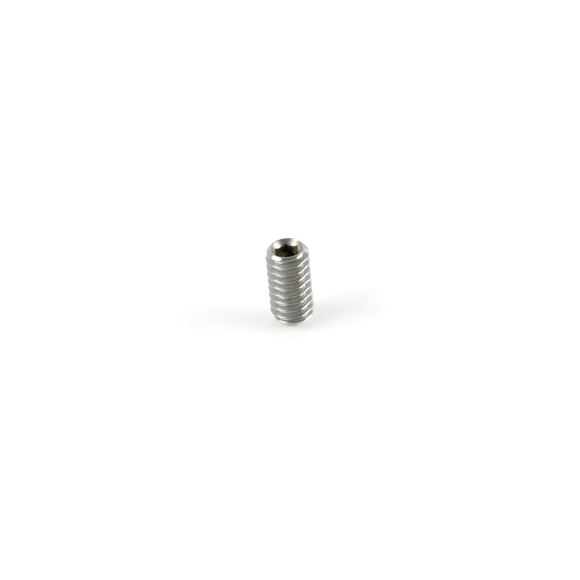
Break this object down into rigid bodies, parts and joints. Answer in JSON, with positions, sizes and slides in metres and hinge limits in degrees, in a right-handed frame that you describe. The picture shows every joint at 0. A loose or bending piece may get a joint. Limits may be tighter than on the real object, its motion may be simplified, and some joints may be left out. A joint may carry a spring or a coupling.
{
  "type": "hex socket set screw",
  "caption": "Headless set screw threaded over its whole length, with a countersunk hexagon socket in its drive end and a cup point.",
  "frame": {"origin": "middle of the cup point's ring, on the plane that the screw stands on", "axes": "+Z along the screw's axis, from the point towards the drive end"},
  "size_m": [0.0063, 0.0062, 0.0127],
  "materials": {
    "stainless_steel": "bright rolled and turned stainless steel"
  },
  "bodies": {
    "root": {"set_screw": "stainless_steel"}
  },
  "joints": []
}
